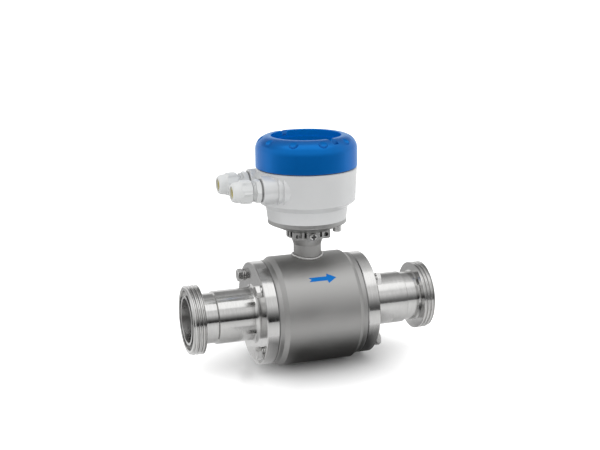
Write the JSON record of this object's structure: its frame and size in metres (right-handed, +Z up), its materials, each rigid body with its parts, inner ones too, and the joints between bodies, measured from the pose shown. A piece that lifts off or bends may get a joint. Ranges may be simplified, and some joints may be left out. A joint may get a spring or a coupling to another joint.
{
  "type": "electromagnetic flow meter",
  "caption": "Pipe-mounted electromagnetic flow meter: straight metering tube with threaded ends, round neck-mounted converter with screwed cover and cable glands.",
  "frame": {"origin": "where the flow axis crosses the converter axis, in the middle of the bore", "axes": "+X along the flow, +Z up through the neck and converter, the arrow is on the -Y side"},
  "size_m": [0.287, 0.1246, 0.2625],
  "materials": {
    "polished_steel": "fine turned, half bright",
    "satin_steel": "satin, blasted",
    "bolt_steel": "bright fastener",
    "bare_alloy": "bare casting, machined",
    "grey_paint": "smooth powder coat, light grey",
    "blue_paint": "smooth gloss powder coat, blue",
    "grey_polyamide": "moulded, light grey",
    "olive_rubber": "soft, yellow-green",
    "black_rubber": "matt",
    "grey_rubber": "matt",
    "white_liner": "smooth",
    "core_iron": "plain",
    "coil_copper": "enamelled winding",
    "black_plastic": "moulded",
    "window_glass": "clear",
    "board_green": "lacquered board",
    "display_grey": "display glass",
    "key_grey": "moulded",
    "terminal_green": "moulded",
    "lead_sheath": "sheath"
  },
  "bodies": {
    "meter": {"inlet_adapter": "polished_steel", "inlet_coupling": "polished_steel", "inlet_end_ring": "satin_steel", "inlet_bolts": "bolt_steel", "inlet_washers": "bolt_steel", "inlet_gasket": "grey_rubber", "outlet_adapter": "polished_steel", "outlet_coupling": "polished_steel", "outlet_end_ring": "satin_steel", "outlet_bolts": "bolt_steel", "outlet_washers": "bolt_steel", "outlet_gasket": "grey_rubber", "sensor_shell": "satin_steel", "neck_tube": "satin_steel", "neck_flare": "satin_steel", "measuring_tube": "satin_steel", "stop_collar": "bare_alloy", "base_plate": "bare_alloy", "clamp_screw": "bolt_steel", "base_screws": "bolt_steel", "electrode_front": "bolt_steel", "electrode_back": "bolt_steel", "electrode_nuts": "bolt_steel", "tube_liner": "white_liner", "electrode_bush_front": "white_liner", "electrode_bush_back": "white_liner", "coil_core_top": "core_iron", "coil_core_bottom": "core_iron", "magnet_yoke": "core_iron", "field_coil_top": "coil_copper", "field_coil_bottom": "coil_copper", "converter_housing": "grey_paint", "electronics_carrier": "black_plastic", "power_module": "black_plastic", "main_board": "board_green", "display_board": "board_green", "display": "display_grey", "terminal_block": "terminal_green", "lead_bundle": "lead_sheath", "gland_body_front": "grey_polyamide", "gland_washer_front": "grey_rubber", "gland_body_back": "grey_polyamide", "gland_washer_back": "grey_rubber"},
    "cover_ring": {"cover_seal": "black_rubber"},
    "cover": {"cover": "blue_paint", "window": "window_glass", "window_seal": "black_rubber", "window_retainer": "black_plastic"},
    "front_seal": {"gland_seal_front": "olive_rubber"},
    "front_nut": {"gland_nut_front": "grey_polyamide"},
    "back_seal": {"gland_seal_back": "olive_rubber"},
    "back_nut": {"gland_nut_back": "grey_polyamide"},
    "key_1": {"key_1": "key_grey"},
    "key_2": {"key_2": "key_grey"},
    "key_3": {"key_3": "key_grey"},
    "key_4": {"key_4": "key_grey"}
  },
  "joints": [
    {"name": "cover_lift", "type": "slide", "parent": "meter", "child": "cover_ring", "axis": [0, 0, 1], "range_m": [0, 0.01]},
    {"name": "cover_turn", "type": "hinge", "parent": "cover_ring", "child": "cover", "pos_m": [0, 0, 0.17], "axis": [0, 0, 1], "range_deg": [0, 1800]},
    {"name": "front_nut_travel", "type": "slide", "parent": "meter", "child": "front_seal", "axis": [-1, 0, 0], "range_m": [0, 0.006]},
    {"name": "front_nut_turn", "type": "hinge", "parent": "front_seal", "child": "front_nut", "pos_m": [-0.08, -0.024, 0.146], "axis": [-1, 0, 0], "range_deg": [0, 1440]},
    {"name": "back_nut_travel", "type": "slide", "parent": "meter", "child": "back_seal", "axis": [-1, 0, 0], "range_m": [-0.0025, 0.006]},
    {"name": "back_nut_turn", "type": "hinge", "parent": "back_seal", "child": "back_nut", "pos_m": [-0.08, 0.024, 0.146], "axis": [-1, 0, 0], "range_deg": [-600, 1440]},
    {"name": "key_1_press", "type": "slide", "parent": "meter", "child": "key_1", "axis": [0, 0, -1], "range_m": [0, 0.0005], "stiffness_N_per_m": 600},
    {"name": "key_2_press", "type": "slide", "parent": "meter", "child": "key_2", "axis": [0, 0, -1], "range_m": [0, 0.0005], "stiffness_N_per_m": 600},
    {"name": "key_3_press", "type": "slide", "parent": "meter", "child": "key_3", "axis": [0, 0, -1], "range_m": [0, 0.0005], "stiffness_N_per_m": 600},
    {"name": "key_4_press", "type": "slide", "parent": "meter", "child": "key_4", "axis": [0, 0, -1], "range_m": [0, 0.0005], "stiffness_N_per_m": 600}
  ],
  "couplings": [
    {"joint": "cover_lift", "follows": "cover_turn", "m_per_rad": 0.00031831},
    {"joint": "front_nut_travel", "follows": "front_nut_turn", "m_per_rad": 0.00023873},
    {"joint": "back_nut_travel", "follows": "back_nut_turn", "m_per_rad": 0.00023873}
  ]
}
